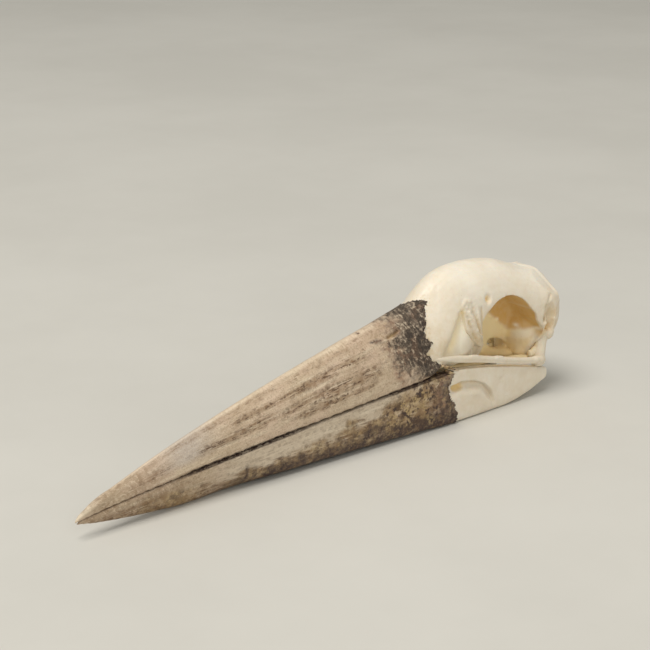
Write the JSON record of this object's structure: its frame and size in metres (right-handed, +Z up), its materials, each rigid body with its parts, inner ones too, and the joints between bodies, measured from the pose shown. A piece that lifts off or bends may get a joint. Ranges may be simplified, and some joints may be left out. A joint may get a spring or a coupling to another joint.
{
  "type": "bird skull",
  "caption": "Life-size marabou stork skull with its long wedge-shaped horn bill, rounded ivory cranium, open eye sockets and slender cheek bars, resting on its lower jaw.",
  "frame": {"origin": "middle of the overall length and width, on the table under the jaw", "axes": "-X towards the bill tip, -Y towards the bird's left side, +Z up"},
  "size_m": [0.4332, 0.0642, 0.1139],
  "materials": {
    "bone": "dry ivory bone, fine pores, satin, amber in the hollows",
    "horn": "weathered horn, tan with brown pitted streaks, charcoal and flaking at the base"
  },
  "bodies": {
    "root": {"upper_sheath": "horn", "lower_sheath": "horn", "upper_jaw": "bone", "cranium": "bone", "jaw_ramus_left": "bone", "jaw_ramus_right": "bone", "quadrate_left": "bone", "quadrate_right": "bone", "cheek_bar_left": "bone", "cheek_bar_right": "bone", "lacrimal_left": "bone", "lacrimal_right": "bone", "palatine_left": "bone", "palatine_right": "bone", "pterygoid_left": "bone", "pterygoid_right": "bone"}
  },
  "joints": []
}
